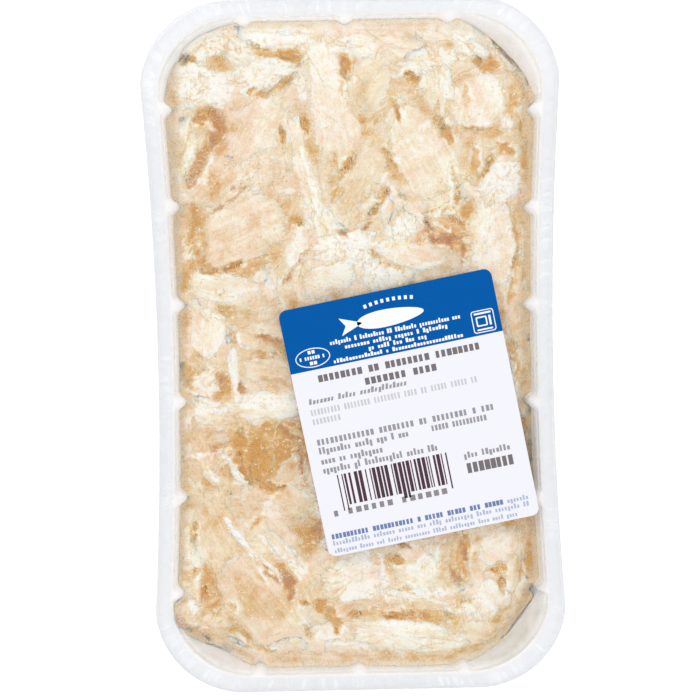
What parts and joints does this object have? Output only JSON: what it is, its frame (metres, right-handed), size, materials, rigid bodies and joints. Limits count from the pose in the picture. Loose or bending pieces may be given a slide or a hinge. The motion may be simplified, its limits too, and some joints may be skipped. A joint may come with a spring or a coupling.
{
  "type": "tray pack of salted dried cod",
  "caption": "Shredded salted dried cod in a ribbed white plastic tray with a clear film sealed over its rim and a rounded rectangular paper label.",
  "frame": {"origin": "centre of the tray's underside, on the surface that the pack rests on", "axes": "+Z up, out of the film; +Y along the tray's long side; +X across the tray, to the right as the label is seen from above with +Y up"},
  "size_m": [0.134, 0.225, 0.0371],
  "materials": {
    "tray": "white thermoformed food-tray plastic, soft gloss",
    "cod": null,
    "film": "thin clear sealing film, glossy",
    "label": null
  },
  "bodies": {
    "root": {"tray": "tray", "cod_heap": "cod", "lid_film": "film", "label": "label"}
  },
  "joints": []
}
